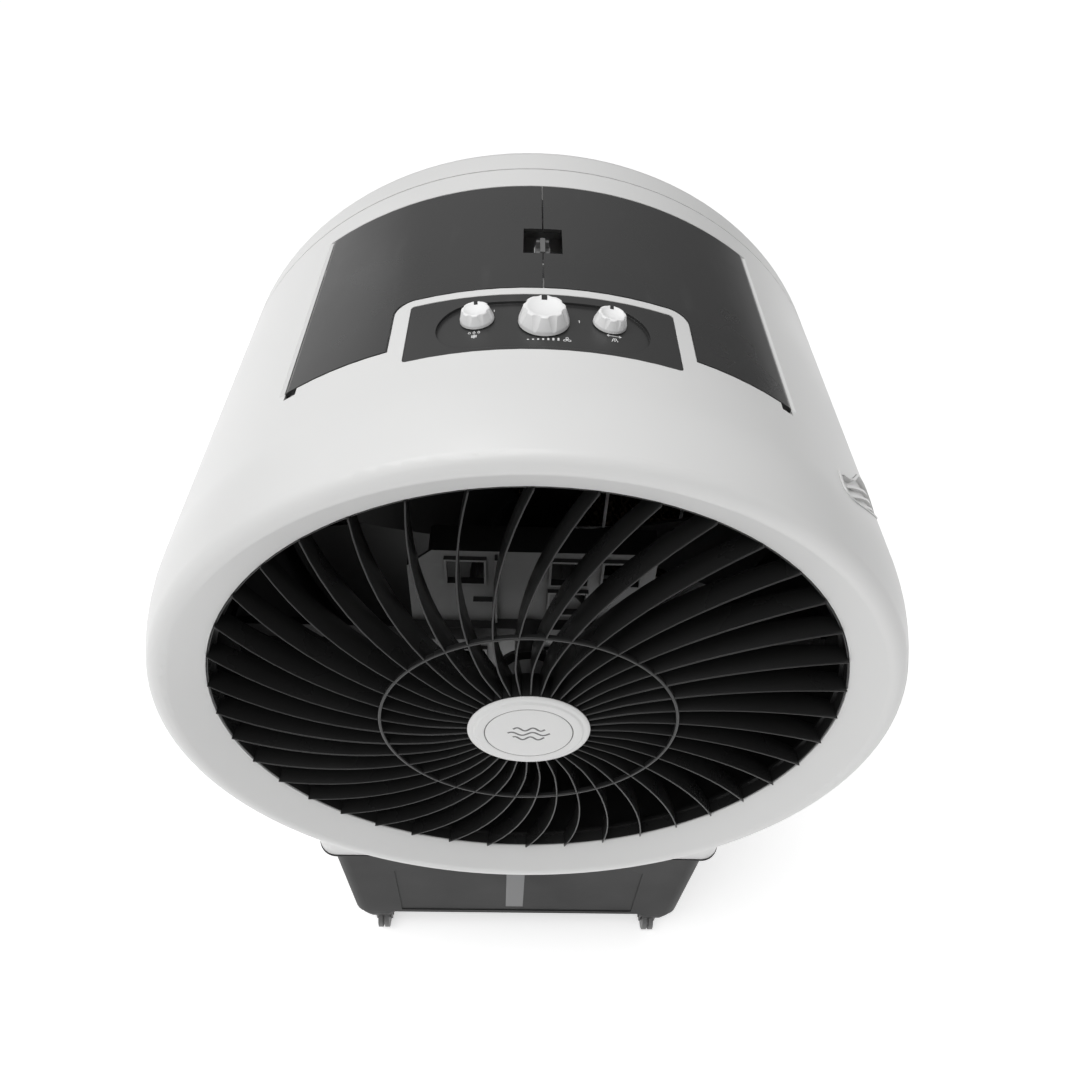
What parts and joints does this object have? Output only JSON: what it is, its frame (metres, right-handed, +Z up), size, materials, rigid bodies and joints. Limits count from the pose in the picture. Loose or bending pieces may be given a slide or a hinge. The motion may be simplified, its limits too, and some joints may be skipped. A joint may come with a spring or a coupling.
{
  "type": "evaporative room air cooler",
  "caption": "Drum-shaped evaporative room air cooler: turning louvre wheel at the front, control knobs and filling lids on top, pad at the back, castered water tank below.",
  "frame": {"origin": "on the floor, under the middle of the bounding box", "axes": "+Z up, air blows out towards -Y, +X to the right seen from the front"},
  "size_m": [0.713, 0.4686, 1.0233],
  "materials": {
    "white_shell": "satin moulded white ABS",
    "charcoal_gloss": "semi-gloss charcoal ABS",
    "black_plastic": "satin black polypropylene",
    "tank_grey": "satin dark grey ABS",
    "clear_window": "translucent acrylic",
    "light_grey_plastic": "matt light grey polypropylene",
    "motor_paint": "grey stove enamel",
    "blue_grey_plastic": "matt moulded plastic",
    "bright_steel": "bright zinc-plated steel",
    "brass": "turned brass",
    "pad_cellulose": "corrugated cellulose",
    "hose_rubber": "soft black rubber",
    "caster_grey": "moulded grey nylon"
  },
  "bodies": {
    "cabinet": {"front_shell": "white_shell", "rear_shell": "white_shell", "collar_front": "white_shell", "collar_rear": "white_shell", "collar_sides": "white_shell", "side_relief": "white_shell", "control_panel": "charcoal_gloss", "cross_frame": "black_plastic", "rear_grille": "black_plastic", "cord_gland": "black_plastic", "fan_shroud": "black_plastic", "water_tank": "tank_grey", "level_window": "clear_window", "motor_cradle": "light_grey_plastic", "lid_catch": "light_grey_plastic", "ice_tray": "light_grey_plastic", "distribution_trough": "light_grey_plastic", "pad_frame": "light_grey_plastic", "pump_strainer": "light_grey_plastic", "fan_motor": "motor_paint", "swing_motor": "motor_paint", "pump_body": "blue_grey_plastic", "capacitor": "blue_grey_plastic", "cool_switch": "blue_grey_plastic", "speed_switch": "blue_grey_plastic", "swing_switch": "blue_grey_plastic", "case_screws": "bright_steel", "caster_sockets": "bright_steel", "float_valve": "brass", "cooling_pad": "pad_cellulose", "water_hose": "hose_rubber"},
    "fan": {"fan_rotor": "black_plastic", "fan_shaft": "bright_steel", "fan_nut": "black_plastic"},
    "louvre": {"louvre_wheel": "black_plastic", "louvre_shaft": "bright_steel", "hub_cap": "white_shell"},
    "cool_control": {"cool_knob": "white_shell", "cool_shaft": "bright_steel"},
    "speed_control": {"speed_knob": "white_shell", "speed_shaft": "bright_steel"},
    "swing_control": {"swing_knob": "white_shell", "swing_shaft": "bright_steel"},
    "left_lid": {"lid_left": "charcoal_gloss", "lid_pins_left": "bright_steel"},
    "right_lid": {"lid_right": "charcoal_gloss", "lid_pins_right": "bright_steel"},
    "impeller": {"pump_impeller": "blue_grey_plastic"},
    "float": {"float_arm": "bright_steel", "float_ball": "blue_grey_plastic"},
    "drain": {"drain_plug": "tank_grey", "drain_seal": "hose_rubber"},
    "caster_front_left": {"caster_fork_front_left": "black_plastic"},
    "wheel_front_left": {"caster_wheel_front_left": "caster_grey"},
    "caster_front_right": {"caster_fork_front_right": "black_plastic"},
    "wheel_front_right": {"caster_wheel_front_right": "caster_grey"},
    "caster_rear_left": {"caster_fork_rear_left": "black_plastic"},
    "wheel_rear_left": {"caster_wheel_rear_left": "caster_grey"},
    "caster_rear_right": {"caster_fork_rear_right": "black_plastic"},
    "wheel_rear_right": {"caster_wheel_rear_right": "caster_grey"}
  },
  "joints": [
    {"name": "fan_spin", "type": "hinge", "parent": "cabinet", "child": "fan", "pos_m": [0, 0.02615, 0.655], "axis": [0, 1, 0], "continuous": true},
    {"name": "louvre_spin", "type": "hinge", "parent": "cabinet", "child": "louvre", "pos_m": [0, -0.21185, 0.655], "axis": [0, 1, 0], "continuous": true},
    {"name": "cool_turn", "type": "hinge", "parent": "cabinet", "child": "cool_control", "pos_m": [-0.05146, -0.08085, 1.00777], "axis": [-0.1444, 0, 0.9895], "range_deg": [-75, 0]},
    {"name": "speed_turn", "type": "hinge", "parent": "cabinet", "child": "speed_control", "pos_m": [0, -0.08645, 1.0115], "axis": [0, 0, 1], "range_deg": [-270, 0]},
    {"name": "swing_turn", "type": "hinge", "parent": "cabinet", "child": "swing_control", "pos_m": [0.05146, -0.08085, 1.00777], "axis": [0.1444, 0, 0.9895], "range_deg": [-75, 0]},
    {"name": "left_lid_hinge", "type": "hinge", "parent": "cabinet", "child": "left_lid", "pos_m": [-0.1973, 0.01815, 0.94469], "axis": [0, -1, 0], "range_deg": [0, 80]},
    {"name": "right_lid_hinge", "type": "hinge", "parent": "cabinet", "child": "right_lid", "pos_m": [0.1973, 0.01815, 0.94469], "axis": [0, 1, 0], "range_deg": [0, 80]},
    {"name": "impeller_spin", "type": "hinge", "parent": "cabinet", "child": "impeller", "pos_m": [0.06, 0.16015, 0.097], "axis": [0, 0, 1], "continuous": true},
    {"name": "float_swing", "type": "hinge", "parent": "cabinet", "child": "float", "pos_m": [-0.12, 0.16415, 0.215], "axis": [-1, 0, 0], "range_deg": [0, 32]},
    {"name": "drain_pull", "type": "slide", "parent": "cabinet", "child": "drain", "axis": [0, 1, 0], "range_m": [0, 0.022]},
    {"name": "caster_swivel_front_left", "type": "hinge", "parent": "cabinet", "child": "caster_front_left", "pos_m": [-0.2, -0.15385, 0.045], "axis": [0, 0, 1], "continuous": true},
    {"name": "wheel_roll_front_left", "type": "hinge", "parent": "caster_front_left", "child": "wheel_front_left", "pos_m": [-0.2, -0.17385, 0.02], "axis": [1, 0, 0], "continuous": true},
    {"name": "caster_swivel_front_right", "type": "hinge", "parent": "cabinet", "child": "caster_front_right", "pos_m": [0.2, -0.15385, 0.045], "axis": [0, 0, 1], "continuous": true},
    {"name": "wheel_roll_front_right", "type": "hinge", "parent": "caster_front_right", "child": "wheel_front_right", "pos_m": [0.2, -0.17385, 0.02], "axis": [1, 0, 0], "continuous": true},
    {"name": "caster_swivel_rear_left", "type": "hinge", "parent": "cabinet", "child": "caster_rear_left", "pos_m": [-0.2, 0.16115, 0.045], "axis": [0, 0, 1], "continuous": true},
    {"name": "wheel_roll_rear_left", "type": "hinge", "parent": "caster_rear_left", "child": "wheel_rear_left", "pos_m": [-0.2, 0.14115, 0.02], "axis": [1, 0, 0], "continuous": true},
    {"name": "caster_swivel_rear_right", "type": "hinge", "parent": "cabinet", "child": "caster_rear_right", "pos_m": [0.2, 0.16115, 0.045], "axis": [0, 0, 1], "continuous": true},
    {"name": "wheel_roll_rear_right", "type": "hinge", "parent": "caster_rear_right", "child": "wheel_rear_right", "pos_m": [0.2, 0.14115, 0.02], "axis": [1, 0, 0], "continuous": true}
  ]
}
